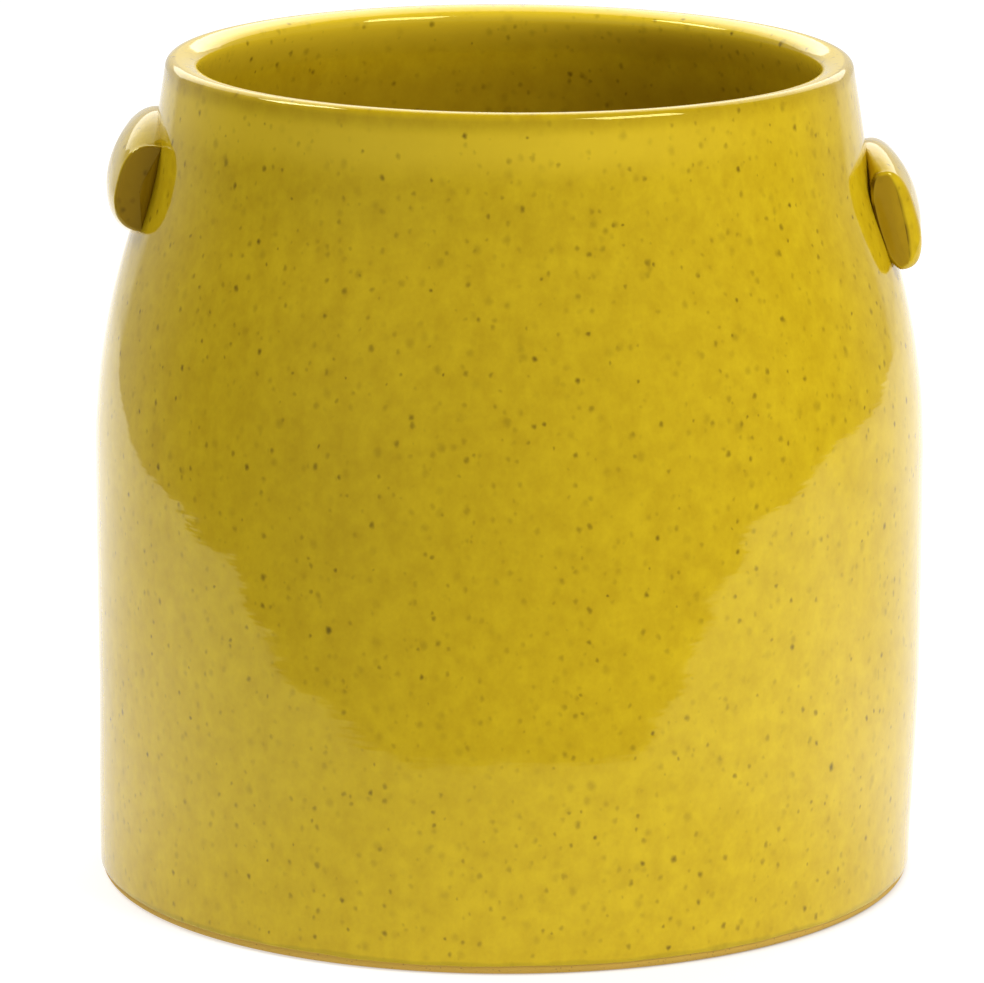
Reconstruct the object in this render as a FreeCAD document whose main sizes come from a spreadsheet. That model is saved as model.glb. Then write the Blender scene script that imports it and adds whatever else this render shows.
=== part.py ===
"""Glazed stoneware flower pot with two lug handles, as a parametric FreeCAD document.

Millimetres and degrees, +Z up, origin on the floor under the centre of the pot.
Sizes of the outside, the mouth and the lip are finished sizes, measured over the glaze.
"""
import FreeCAD, Part
import math
import os
from collections import namedtuple

import Sketcher
from FreeCAD import Placement, Rotation, Vector

# Alias, value and meaning of each driving size.
SIZES = (
    ("pot_height", 265, "floor to the top of the lip"),
    ("belly_diameter", 267, "widest diameter of the wall"),
    ("lower_wall_round", 5200, "radius of the faint swelling below the belly"),
    ("shoulder_height", 97.9, "belly to the foot of the collar"),
    ("neck_draw_in", 19.3, "how far the foot of the collar stands in from the belly"),
    ("neck_round", 103, "radius of the hollow between shoulder and collar"),
    ("collar_height", 30.4, "foot of the collar to the top of the lip"),
    ("collar_lean", 9.3, "degrees that the collar leans in"),
    ("lip_outer_share", 0.7, "outer rounding of the lip, as a share of the glazed wall"),
    ("lip_inner_share", 0.8, "inner rounding of the lip, as a share of what the outer one leaves"),
    ("wall_thickness", 9, "clay wall"),
    ("glaze_thickness", 0.5, "one coat of glaze"),
    ("slab_thickness", 10, "clay floor disc"),
    ("foot_round", 2.6, "rounding of the slab's lower edge"),
    ("foot_ring_width", 14, "flat ring that the pot stands on"),
    ("foot_recess_depth", 2.5, "turned hollow under the floor"),
    ("glaze_margin", 0.4, "bare clay between the foot rounding and the outer glaze"),
    ("corner_coil_leg", 12, "reach of the inner corner coil along floor and wall"),
    ("corner_coil_hollow_share", 1.6, "radius of the coil's hollow face, as a share of its leg"),
    ("lug_bite", 0.8, "depth that a lug is pressed towards the wall before it is trimmed to it"),
    ("lug_end_round", 2.2, "rounding of a lug's cut ends"),
    ("lug_coil_size", 9, "reach of the coil worked into the seam above a lug"),
    ("left_lug_drop", 38.5, "top of the lip to the middle of the left lug"),
    ("left_lug_thickness", 10, "left lug, out from the wall"),
    ("left_lug_flat", 7, "straight part of the left lug's section"),
    ("left_lug_length", 58, "left lug along the wall"),
    ("left_lug_bend", 120, "radius that the left lug is bent to"),
    ("right_lug_drop", 47.1, "top of the lip to the middle of the right lug"),
    ("right_lug_thickness", 12.3, "right lug, out from the wall"),
    ("right_lug_flat", 7, "straight part of the right lug's section"),
    ("right_lug_length", 54, "right lug along the wall"),
    ("right_lug_bend", 260, "radius that the right lug is bent to"),
)

# Sizes that follow from the driving ones, as expressions on the sheet.
NO_OFFSET = "0"
GLAZE = "Sizes.glaze_thickness"
CLAY_INSIDE = "Sizes.glaze_thickness + Sizes.wall_thickness"
FULL_WALL = "(Sizes.wall_thickness + 2 * Sizes.glaze_thickness)"
BELLY_RADIUS = "Sizes.belly_diameter / 2"
BELLY_HEIGHT = "(Sizes.pot_height - Sizes.collar_height - Sizes.shoulder_height)"
LEAN = "(Sizes.collar_lean * 1 deg)"
LOW_CENTRE_BACK = f"Sizes.lower_wall_round - {BELLY_RADIUS}"
NECK_CENTRE_X = f"{BELLY_RADIUS} - Sizes.neck_draw_in + Sizes.neck_round * cos({LEAN})"
NECK_CENTRE_Z = f"Sizes.pot_height - Sizes.collar_height + Sizes.neck_round * sin({LEAN})"
LIP_OUTER = f"(Sizes.lip_outer_share * {FULL_WALL})"
LIP_INNER = f"(Sizes.lip_inner_share * ({FULL_WALL} - {LIP_OUTER}))"
LIP_OUTER_X = (f"{BELLY_RADIUS} - Sizes.neck_draw_in"
               f" - ({LIP_OUTER} + (Sizes.collar_height - {LIP_OUTER}) * sin({LEAN})) / cos({LEAN})")
LIP_INNER_X = (f"{BELLY_RADIUS} - Sizes.neck_draw_in - ({FULL_WALL} - {LIP_INNER}"
               f" + (Sizes.collar_height - {LIP_INNER}) * sin({LEAN})) / cos({LEAN})")
GLAZE_LINE = "Sizes.foot_round + Sizes.glaze_margin"
CLAY_TOP = "Sizes.pot_height - Sizes.glaze_thickness"
COIL_TOP = "Sizes.slab_thickness + Sizes.corner_coil_leg"
COIL_RADIUS = "Sizes.corner_coil_hollow_share * Sizes.corner_coil_leg"

# Share within which a place counts as the same.
FINE_SHARE = 0.001

ORIGIN = (-1, 1)
START, END, CENTRE = 1, 2, 3

doc = FreeCAD.newDocument("flower_pot")
sheet = doc.addObject("Spreadsheet::Sheet", "Sizes")
for row, (alias, size, meaning) in enumerate(SIZES, start=1):
    sheet.set(f"A{row}", meaning)
    sheet.set(f"B{row}", str(size))
    sheet.setAlias(f"B{row}", alias)
doc.recompute()


def number(expression):
    """Value of an expression on the sheet."""
    result = sheet.evalExpression(expression)
    return float(getattr(result, "Value", result))


def point(x, z):
    return Vector(x, z, 0)


def towards(angle):
    """Unit vector at an angle, in radians, above the outward direction."""
    return point(math.cos(angle), math.sin(angle))


class Edge(namedtuple("Edge", "index first last")):
    """A sketch line or arc, with its two ends in the order they were drawn."""

    @property
    def start(self):
        return self.index, self.first

    @property
    def end(self):
        return self.index, self.last

    @property
    def centre(self):
        return self.index, CENTRE


class Outline:
    """A body with one sketch on its XZ plane, to be turned about its Z axis."""

    def __init__(self, name):
        self.body = doc.addObject("PartDesign::Body", name)
        self.body.Label = name
        self.sketch = self.body.newObject("Sketcher::SketchObject", f"{name}_outline")
        planes = {feature.Role: feature for feature in self.body.Origin.OriginFeatures}
        self.sketch.AttachmentSupport = [(planes["XZ_Plane"], "")]
        self.sketch.MapMode = "FlatFace"

    def line(self, start, end):
        return Edge(self.sketch.addGeometry(Part.LineSegment(start, end), False), START, END)

    def arc(self, centre, start, end, anticlockwise=True):
        first, last = (start, end) if anticlockwise else (end, start)
        angles = [math.atan2(p.y - centre.y, p.x - centre.x) for p in (first, last)]
        circle = Part.Circle(centre, Vector(0, 0, 1), centre.distanceToPoint(start))
        index = self.sketch.addGeometry(Part.ArcOfCircle(circle, *angles), False)
        return Edge(index, START, END) if anticlockwise else Edge(index, END, START)

    def relate(self, kind, *places):
        self.sketch.addConstraint(Sketcher.Constraint(kind, *[item for place in places for item in place]))

    def bind(self, kind, expression, *places):
        """Add a dimension and tie it to the sheet."""
        items = [item for place in places for item in place]
        index = self.sketch.addConstraint(Sketcher.Constraint(kind, *items, number(expression)))
        self.sketch.renameConstraint(index, f"size_{index}")
        self.sketch.setExpression(f"Constraints.size_{index}", expression)

    def bind_angle(self, expression, edge):
        index = self.sketch.addConstraint(
            Sketcher.Constraint("Angle", edge.index, math.radians(number(expression))))
        self.sketch.renameConstraint(index, f"size_{index}")
        self.sketch.setExpression(f"Constraints.size_{index}", expression)

    def bind_radius(self, expression, edge):
        self.bind("Radius", expression, (edge.index,))

    def revolve(self, angle=None):
        """Turn the outline about the body's axis, all the way or through an angle across its plane."""
        turned = self.body.newObject("PartDesign::Revolution", f"{self.body.Name}_turned")
        turned.Profile = self.sketch
        turned.ReferenceAxis = (self.sketch, ["V_Axis"])
        if angle:
            turned.setExpression("Angle", angle)
            turned.Midplane = True
        doc.recompute()
        return turned


Face = namedtuple("Face", "low shoulder neck collar")


def shoulder_circle():
    """Centre and radius of the finished shoulder, tangent to the belly and to the neck's hollow."""
    neck = point(number(NECK_CENTRE_X), number(NECK_CENTRE_Z))
    hollow = number("Sizes.neck_round")
    out = neck.x - number(BELLY_RADIUS)
    up = neck.y - number(BELLY_HEIGHT)
    radius = (out ** 2 + up ** 2 - hollow ** 2) / (2 * (hollow - out))
    return point(number(BELLY_RADIUS) - radius, number(BELLY_HEIGHT)), radius


def low_point(offset, z):
    """Point of the lower wall's face at a height, offset inwards from the finished face."""
    radius = number(f"Sizes.lower_wall_round - ({offset})")
    rise = number(BELLY_HEIGHT) - z
    return point(math.sqrt(radius ** 2 - rise ** 2) - number(LOW_CENTRE_BACK), z)


def low_arc(outline, offset, low_z, high_z):
    """Part of the lower wall's face, offset inwards from the finished face."""
    centre = point(-number(LOW_CENTRE_BACK), number(BELLY_HEIGHT))
    edge = outline.arc(centre, low_point(offset, low_z), low_point(offset, high_z))
    outline.bind("DistanceX", LOW_CENTRE_BACK, edge.centre, ORIGIN)
    outline.bind("DistanceY", BELLY_HEIGHT, ORIGIN, edge.centre)
    outline.bind_radius(f"Sizes.lower_wall_round - ({offset})", edge)
    return edge


def wall_face(outline, offset, low_z, collar_top):
    """A face of the thrown wall from low_z up to collar_top, offset inwards from the finished face."""
    inset = number(offset)
    lean = math.radians(number("Sizes.collar_lean"))
    belly_z = number(BELLY_HEIGHT)
    shoulder_centre, shoulder_radius = shoulder_circle()
    neck_centre = point(number(NECK_CENTRE_X), number(NECK_CENTRE_Z))
    neck_radius = number("Sizes.neck_round") + inset
    belly = point(number(BELLY_RADIUS) - inset, belly_z)
    across = neck_centre - shoulder_centre
    turn = shoulder_centre + across * ((shoulder_radius - inset) / across.Length)
    collar_foot = neck_centre - towards(lean) * neck_radius

    low = low_arc(outline, offset, low_z, belly_z)
    shoulder = outline.arc(shoulder_centre, belly, turn)
    neck = outline.arc(neck_centre, turn, collar_foot, anticlockwise=False)
    collar = outline.line(collar_foot, collar_top)
    outline.relate("Tangent", low.end, shoulder.start)
    outline.relate("Horizontal", low.centre, shoulder.centre)
    outline.relate("Tangent", shoulder.end, neck.start)
    outline.bind("DistanceX", NECK_CENTRE_X, ORIGIN, neck.centre)
    outline.bind("DistanceY", NECK_CENTRE_Z, ORIGIN, neck.centre)
    outline.bind_radius(f"Sizes.neck_round + ({offset})", neck)
    outline.relate("Tangent", neck.end, collar.start)
    outline.bind_angle(f"90 deg + {LEAN}", collar)
    return Face(low, shoulder, neck, collar)


def lip_point(outer, coat):
    """Where a rounding of the lip, a coat of glaze down from the finished one, meets its collar line."""
    lean = math.radians(number("Sizes.collar_lean"))
    x, radius, sign = (LIP_OUTER_X, LIP_OUTER, 1) if outer else (LIP_INNER_X, LIP_INNER, -1)
    centre = point(number(x), number(f"Sizes.pot_height - {radius}"))
    return centre, centre + towards(lean) * (sign * (number(radius) - coat))


def lip_arc(outline, outer, coat, collar):
    """A rounding of the lip from its collar line to the top, less a coat of glaze."""
    coat_size = number(coat)
    centre, collar_top = lip_point(outer, coat_size)
    radius = LIP_OUTER if outer else LIP_INNER
    top = centre + point(0, number(radius) - coat_size)
    edge = outline.arc(centre, collar_top, top, anticlockwise=outer)
    outline.relate("Tangent", collar.end, edge.start)
    outline.bind_radius(f"{radius} - ({coat})", edge)
    return edge, top


def close_level(outline, height, left, right, ends):
    """Straight closing edge at a height, between the lower ends of two faces."""
    edge = outline.line(*ends)
    outline.relate("Coincident", left, edge.start)
    outline.relate("Coincident", right, edge.end)
    outline.relate("Horizontal", (edge.index,))
    outline.bind("DistanceY", height, ORIGIN, edge.start)


def make_wall():
    """Clay wall with its lip, standing on the slab."""
    outline = Outline("wall")
    slab = number("Sizes.slab_thickness")
    coat = number(GLAZE)
    outside = wall_face(outline, GLAZE, slab, lip_point(True, coat)[1])
    inside = wall_face(outline, CLAY_INSIDE, slab, lip_point(False, coat)[1])
    lip_out, top_out = lip_arc(outline, True, GLAZE, outside.collar)
    lip_in, top_in = lip_arc(outline, False, GLAZE, inside.collar)
    crest = outline.line(top_out, top_in)
    outline.relate("Tangent", lip_out.end, crest.start)
    outline.relate("Tangent", lip_in.end, crest.end)
    outline.relate("Horizontal", (crest.index,))
    outline.bind("DistanceY", CLAY_TOP, ORIGIN, crest.start)
    feet = low_point(GLAZE, slab), low_point(CLAY_INSIDE, slab)
    close_level(outline, "Sizes.slab_thickness", outside.low.start, inside.low.start, feet)
    outline.revolve()
    return outline.body


def make_base_slab():
    """Clay floor disc with a rounded edge, a foot ring to stand on and a turned hollow inside it."""
    outline = Outline("base_slab")
    top = number("Sizes.slab_thickness")
    rounding = number("Sizes.foot_round")
    hollow = number("Sizes.foot_recess_depth")
    low_centre = point(-number(LOW_CENTRE_BACK), number(BELLY_HEIGHT))
    reach = number("Sizes.lower_wall_round - Sizes.glaze_thickness - Sizes.foot_round")
    foot_x = low_centre.x + math.sqrt(reach ** 2 - (low_centre.y - rounding) ** 2)
    foot_centre = point(foot_x, rounding)
    tangent_point = foot_centre + (foot_centre - low_centre).normalize() * rounding
    stand = point(foot_x, 0)
    ring_inside = point(foot_x - number("Sizes.foot_ring_width"), 0)
    hollow_edge = ring_inside + point(-hollow, hollow)
    edge_top = low_point(GLAZE, top)

    side = low_arc(outline, GLAZE, tangent_point.y, top)
    rim = outline.arc(foot_centre, tangent_point, stand, anticlockwise=False)
    ring = outline.line(stand, ring_inside)
    bevel = outline.line(ring_inside, hollow_edge)
    under = outline.line(hollow_edge, point(0, hollow))
    axis = outline.line(point(0, hollow), point(0, top))
    over = outline.line(point(0, top), edge_top)
    outline.relate("Tangent", side.start, rim.start)
    outline.relate("Tangent", rim.end, ring.start)
    for before, after in ((ring, bevel), (bevel, under), (under, axis), (axis, over), (over, side)):
        outline.relate("Coincident", before.end, after.end if after is side else after.start)
    for level in (ring, under, over):
        outline.relate("Horizontal", (level.index,))
    outline.relate("Vertical", (axis.index,))
    outline.relate("PointOnObject", ring.start, (-1,))
    outline.relate("PointOnObject", axis.start, (-2,))
    outline.bind_radius("Sizes.foot_round", rim)
    outline.bind("DistanceX", "Sizes.foot_ring_width", ring.end, ring.start)
    outline.bind("DistanceX", "Sizes.foot_recess_depth", bevel.end, bevel.start)
    outline.bind("DistanceY", "Sizes.foot_recess_depth", bevel.start, bevel.end)
    outline.bind("DistanceY", "Sizes.slab_thickness", ORIGIN, axis.end)
    outline.revolve()
    return outline.body


def coil_arc(outline, wall_point, coat):
    """Hollow face of the inner corner coil, or of the glaze on it, from the wall to the floor."""
    leg = number("Sizes.corner_coil_leg")
    floor_point = wall_point - point(leg, leg)
    radius = number(COIL_RADIUS)
    half_chord = leg / math.sqrt(2)
    middle = (wall_point + floor_point) / 2
    centre = middle + point(-1, 1).normalize() * math.sqrt(radius ** 2 - half_chord ** 2)
    shrink = (radius - coat) / radius
    ends = [centre + (end - centre) * shrink for end in (wall_point, floor_point)]
    return outline.arc(centre, *ends, anticlockwise=False)


def bind_coil(outline, edge):
    """Place the coil's hollow face by its reach along the wall and the floor."""
    outline.bind("DistanceY", COIL_TOP, ORIGIN, edge.start)
    outline.bind("DistanceX", "Sizes.corner_coil_leg", edge.end, edge.start)
    outline.bind_radius(COIL_RADIUS, edge)


def make_corner_coil():
    """Clay coil in the inner corner between floor and wall."""
    outline = Outline("corner_coil")
    slab = number("Sizes.slab_thickness")
    coil_top = number(COIL_TOP)
    back = low_arc(outline, CLAY_INSIDE, slab, coil_top)
    hollow = coil_arc(outline, low_point(CLAY_INSIDE, coil_top), 0)
    outline.relate("Coincident", back.end, hollow.start)
    bind_coil(outline, hollow)
    leg = coil_top - slab
    feet = low_point(CLAY_INSIDE, slab), low_point(CLAY_INSIDE, coil_top) - point(leg, leg)
    close_level(outline, "Sizes.slab_thickness", back.start, hollow.end, feet)
    outline.revolve()
    return outline.body


def make_outer_coat():
    """Glaze on the outside, all the way round, from the glaze line to the top of the lip."""
    outline = Outline("outer_coat")
    line_height = number(GLAZE_LINE)
    faces = []
    tops = []
    for offset in (NO_OFFSET, GLAZE):
        face = wall_face(outline, offset, line_height, lip_point(True, number(offset))[1])
        lip, top = lip_arc(outline, True, offset, face.collar)
        outline.relate("Vertical", lip.centre, lip.end)
        outline.bind("DistanceY", f"Sizes.pot_height - ({offset})", ORIGIN, lip.end)
        faces.append(face)
        tops.append((lip, top))
    (lip_over, top_over), (lip_under, top_under) = tops
    crest = outline.line(top_over, top_under)
    outline.relate("Coincident", lip_over.end, crest.start)
    outline.relate("Coincident", lip_under.end, crest.end)
    feet = low_point(NO_OFFSET, line_height), low_point(GLAZE, line_height)
    close_level(outline, GLAZE_LINE, faces[0].low.start, faces[1].low.start, feet)
    outline.revolve()
    return outline.body


def make_inner_glaze():
    """Glaze on the inside: lip, wall, corner coil and floor."""
    outline = Outline("inner_glaze")
    coil_top = number(COIL_TOP)
    crest_x = number(LIP_OUTER_X)
    wall_point = low_point(CLAY_INSIDE, coil_top)
    ends = []
    for offset, coat in ((CLAY_INSIDE, GLAZE), (FULL_WALL, NO_OFFSET)):
        cover = number(GLAZE) - number(coat)
        floor_height = f"Sizes.slab_thickness + {GLAZE} - ({coat})"
        floor_z = number(floor_height)
        face = wall_face(outline, offset, coil_top, lip_point(False, number(coat))[1])
        lip, top = lip_arc(outline, False, coat, face.collar)
        crest = outline.line(top, point(crest_x, top.y))
        outline.relate("Tangent", lip.end, crest.start)
        outline.relate("Horizontal", (crest.index,))
        outline.bind("DistanceX", LIP_OUTER_X, ORIGIN, crest.end)
        outline.bind("DistanceY", f"Sizes.pot_height - ({coat})", ORIGIN, crest.end)
        hollow = coil_arc(outline, wall_point, cover)
        outline.relate("Coincident", face.low.start, hollow.start)
        floor_end = point(wall_point.x - number("Sizes.corner_coil_leg"), floor_z)
        floor = outline.line(floor_end, point(0, floor_z))
        outline.relate("Coincident", hollow.end, floor.start)
        outline.relate("Horizontal", (floor.index,))
        outline.relate("PointOnObject", floor.end, (-2,))
        outline.bind("DistanceY", floor_height, ORIGIN, floor.end)
        ends.append((crest, hollow, floor, point(crest_x, top.y), point(0, floor_z)))
    (crest_under, hollow_under, floor_under, top_under, mid_under) = ends[0]
    (crest_over, hollow_over, floor_over, top_over, mid_over) = ends[1]
    bind_coil(outline, hollow_under)
    outline.relate("Coincident", hollow_under.centre, hollow_over.centre)
    outline.bind_radius(f"{COIL_RADIUS} - {GLAZE}", hollow_over)
    edge = outline.line(top_under, top_over)
    outline.relate("Coincident", crest_under.end, edge.start)
    outline.relate("Coincident", crest_over.end, edge.end)
    axis = outline.line(mid_under, mid_over)
    outline.relate("Coincident", floor_under.end, axis.start)
    outline.relate("Coincident", floor_over.end, axis.end)
    outline.revolve()
    return outline.body


def clay_face_at(height):
    """Radius and inward lean, in degrees, of the clay wall's outside at a height on shoulder or collar."""
    inset = number(GLAZE)
    shoulder_centre, shoulder_radius = shoulder_circle()
    neck_centre = point(number(NECK_CENTRE_X), number(NECK_CENTRE_Z))
    neck_radius = number("Sizes.neck_round") + inset
    collar_lean = math.radians(number("Sizes.collar_lean"))
    across = neck_centre - shoulder_centre
    turn_z = shoulder_centre.y + across.y * (shoulder_radius - inset) / across.Length
    collar_foot = neck_centre - towards(collar_lean) * neck_radius
    if height < turn_z:
        lean = math.asin((height - shoulder_centre.y) / (shoulder_radius - inset))
        return shoulder_centre.x + (shoulder_radius - inset) * math.cos(lean), math.degrees(lean)
    if height < collar_foot.y:
        lean = math.asin((neck_centre.y - height) / neck_radius)
        return neck_centre.x - neck_radius * math.cos(lean), math.degrees(lean)
    rise = height - collar_foot.y
    return collar_foot.x - rise * math.tan(collar_lean), math.degrees(collar_lean)


def lug_placement(hand):
    """Place of a lug's bend axis, so that the lug's back lies on the wall at its height."""
    height = number(f"Sizes.pot_height - Sizes.{hand}_lug_drop")
    radius, lean = clay_face_at(height)
    tilt = Rotation(Vector(0, 1, 0), -lean)
    seat = Vector(radius, 0, height)
    axis = seat - tilt.multVec(Vector(number(f"Sizes.{hand}_lug_bend"), 0, 0))
    half_turn = Placement(Vector(), Rotation(Vector(0, 0, 1), 180 if hand == "left" else 0))
    return half_turn * Placement(axis, tilt)


def make_lug_blank(hand, name, coat):
    """D-section lug bent round its axis, with rounded ends, grown by a coat of glaze."""
    outline = Outline(name)
    bend = f"Sizes.{hand}_lug_bend"
    flat = f"Sizes.{hand}_lug_flat"
    thickness = f"Sizes.{hand}_lug_thickness + ({coat})"
    back = f"{bend} - Sizes.lug_bite"
    seat_x, back_x = number(bend), number(back)
    rounding, half_flat = number(thickness), number(flat) / 2
    front_x, half_height = seat_x + rounding, half_flat + rounding

    top = outline.line(point(back_x, half_height), point(seat_x, half_height))
    front = outline.line(point(front_x, half_flat), point(front_x, -half_flat))
    upper = outline.arc(point(seat_x, half_flat), point(seat_x, half_height), point(front_x, half_flat),
                        anticlockwise=False)
    lower = outline.arc(point(seat_x, -half_flat), point(front_x, -half_flat), point(seat_x, -half_height),
                        anticlockwise=False)
    bottom = outline.line(point(seat_x, -half_height), point(back_x, -half_height))
    rear = outline.line(point(back_x, -half_height), point(back_x, half_height))
    for before, after in ((top, upper), (upper, front), (front, lower), (lower, bottom)):
        outline.relate("Tangent", before.end, after.start)
    for before, after in ((bottom, rear), (rear, top)):
        outline.relate("Coincident", before.end, after.start)
    for level in (top, bottom):
        outline.relate("Horizontal", (level.index,))
    for upright in (front, rear):
        outline.relate("Vertical", (upright.index,))
    outline.relate("Equal", (upper.index,), (lower.index,))
    outline.bind_radius(thickness, upper)
    outline.bind("DistanceX", bend, ORIGIN, upper.centre)
    outline.bind("DistanceY", f"{flat} / 2", ORIGIN, upper.centre)
    outline.bind("DistanceY", flat, lower.centre, upper.centre)
    outline.bind("DistanceX", back, ORIGIN, rear.start)
    length = f"(Sizes.{hand}_lug_length + 2 * ({coat}))"
    turned = outline.revolve(f"{length} / {bend} * 180 / pi * 1 deg")
    half_angle = math.radians(turned.Angle.Value) / 2
    middle_radius = (back_x + seat_x) / 2
    ends = []
    for index, edge in enumerate(turned.Shape.Edges, start=1):
        middle = edge.valueAt((edge.FirstParameter + edge.LastParameter) / 2)
        at_end = math.isclose(abs(math.atan2(middle.y, middle.x)), half_angle, rel_tol=FINE_SHARE)
        if at_end and math.hypot(middle.x, middle.y) > middle_radius - number("Sizes.lug_bite") * FINE_SHARE:
            ends.append(f"Edge{index}")
    rounded = outline.body.newObject("PartDesign::Fillet", f"{name}_ends")
    rounded.Base = (turned, ends)
    rounded.setExpression("Radius", f"Sizes.lug_end_round + ({coat})")
    outline.body.Placement = lug_placement(hand)
    doc.recompute()
    return outline.body


def make_coil_blank(hand, name, coat):
    """Three-sided strip along the seam above a lug, raised by the glaze that pools there."""
    outline = Outline(name)
    bend = f"Sizes.{hand}_lug_bend"
    lug_top = f"Sizes.{hand}_lug_flat / 2 + Sizes.{hand}_lug_thickness"
    back = f"{bend} - Sizes.lug_bite"
    pool = f"2 * ({coat})"
    corners = (
        (back, f"{lug_top} + Sizes.lug_coil_size + {pool}"),
        (back, f"{lug_top} - Sizes.lug_coil_size"),
        (f"{bend} + Sizes.lug_coil_size", f"{lug_top} - Sizes.lug_coil_size + {pool}"),
    )
    points = [point(number(x), number(z)) for x, z in corners]
    sides = [outline.line(points[index - 1], points[index]) for index in range(len(points))]
    for index, (x, z) in enumerate(corners):
        following = sides[(index + 1) % len(sides)]
        outline.relate("Coincident", sides[index].end, following.start)
        outline.bind("DistanceX", x, ORIGIN, sides[index].end)
        outline.bind("DistanceY", z, ORIGIN, sides[index].end)
    length = f"(Sizes.{hand}_lug_length - 2 * Sizes.lug_end_round + 2 * ({coat}))"
    outline.revolve(f"{length} / {bend} * 180 / pi * 1 deg")
    outline.body.Placement = lug_placement(hand)
    doc.recompute()
    return outline.body


def boolean(kind, name, base, tool):
    result = doc.addObject(f"Part::{kind}", name)
    result.Label = name
    result.Base = base
    result.Tool = tool
    doc.recompute()
    return result


def make_lug(hand, wall):
    """Lug, seam coil and their glaze on one side of the pot, and the whole space that the coat encloses."""
    blank = make_lug_blank(hand, f"{hand}_lug_blank", NO_OFFSET)
    strip = make_coil_blank(hand, f"{hand}_coil_blank", NO_OFFSET)
    lug = boolean("Cut", f"{hand}_lug", blank, wall)
    strip = boolean("Cut", f"{hand}_coil_trimmed", strip, wall)
    coil = boolean("Cut", f"{hand}_lug_coil", strip, lug)
    lug_coat = make_lug_blank(hand, f"{hand}_lug_coat", GLAZE)
    coil_coat = make_coil_blank(hand, f"{hand}_coil_coat", GLAZE)
    coat = boolean("Fuse", f"{hand}_coat", lug_coat, coil_coat)
    shell = boolean("Cut", f"{hand}_coat_trimmed", coat, wall)
    shell = boolean("Cut", f"{hand}_coat_hollow", shell, lug)
    glaze = boolean("Cut", f"{hand}_lug_glaze", shell, coil)
    return [lug, coil, glaze], coat


def main():
    wall = make_wall()
    nodes = [make_base_slab(), wall, make_corner_coil(), make_inner_glaze()]
    outer_glaze = make_outer_coat()
    for hand, name in (("left", "outer_glaze_left"), ("right", "outer_glaze")):
        pieces, coat = make_lug(hand, wall)
        nodes += pieces
        outer_glaze = boolean("Cut", name, outer_glaze, coat)
    nodes.append(outer_glaze)

    doc.recompute()
    failed = [item.Name for item in doc.Objects if {"Invalid", "Error"} & set(item.State)]
    failed += [node.Label for node in nodes if node.Shape.isNull() or not node.Shape.isValid()]
    failed += [node.Label for node in nodes if len(node.Shape.Solids) != 1]
    if failed:
        raise RuntimeError(f"these failed: {failed}")
    os.makedirs("parts", exist_ok=True)
    for node in nodes:
        node.Shape.exportStep(f"parts/{node.Label}.step")
        print(f"{node.Label}: {node.Shape.Volume:.0f} cubic millimetres")


main()
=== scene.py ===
import math

import bmesh
import bpy
import numpy as np
from bpy.props import FloatProperty, FloatVectorProperty, IntProperty, PointerProperty
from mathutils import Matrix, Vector, noise


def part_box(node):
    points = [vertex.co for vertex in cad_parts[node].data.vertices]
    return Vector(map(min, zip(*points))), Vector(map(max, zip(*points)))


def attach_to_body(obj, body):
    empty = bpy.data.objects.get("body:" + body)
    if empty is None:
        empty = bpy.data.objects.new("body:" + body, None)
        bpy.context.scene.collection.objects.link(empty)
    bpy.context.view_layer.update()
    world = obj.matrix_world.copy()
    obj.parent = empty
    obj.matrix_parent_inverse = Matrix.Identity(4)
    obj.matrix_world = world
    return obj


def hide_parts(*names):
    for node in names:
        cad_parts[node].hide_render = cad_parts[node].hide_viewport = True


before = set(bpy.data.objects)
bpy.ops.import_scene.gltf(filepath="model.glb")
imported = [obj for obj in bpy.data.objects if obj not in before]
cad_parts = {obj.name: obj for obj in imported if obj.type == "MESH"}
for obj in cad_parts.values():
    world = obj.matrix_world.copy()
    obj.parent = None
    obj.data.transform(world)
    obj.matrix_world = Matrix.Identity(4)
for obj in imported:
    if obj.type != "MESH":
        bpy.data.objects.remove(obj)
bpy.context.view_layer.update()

bl_info = {
    "name": "Glazed Flower Pot",
    "version": (1, 0, 0),
    "blender": (4, 5, 0),
    "location": "3D View > Sidebar > Flower Pot",
    "description": "Dresses the flower pot's frame: glazed body, bare clay foot, lug handles and a studio",
    "category": "Add Mesh",
}

MM = 0.001
QUARTER = math.pi / 2
SEED = 4.0

# The Mix node's colour sockets, which share their names with its other sockets
MIX_A, MIX_B, MIX_RESULT = 6, 7, 2

GLAZE_LOW, GLAZE_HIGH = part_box("outer_glaze")
INNER_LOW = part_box("inner_glaze")[0]


def linear(code):
    """Turn an sRGB hex colour into the linear values that Blender's sockets take."""
    parts = [int(code[place:place + 2], 16) / 255 for place in (1, 3, 5)]
    return [part / 12.92 if part <= 0.04045 else ((part + 0.055) / 1.055) ** 2.4 for part in parts]


# Settings that a user would change, each with its name, description and default


def metres(name, description, default):
    """A length, shown in the scene's own units."""
    return FloatProperty(name=name, description=description, default=default, unit="LENGTH")


def degrees(name, description, default):
    """An angle, given in degrees and held in radians."""
    return FloatProperty(name=name, description=description, default=math.radians(default), subtype="ANGLE")


def swatch(name, description, code):
    """A colour, given as an sRGB hex code."""
    return FloatVectorProperty(name=name, description=description, default=linear(code), subtype="COLOR")


def number(name, description, default):
    """A plain number, such as a share, a slope or a brightness."""
    return FloatProperty(name=name, description=description, default=default)


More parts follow.
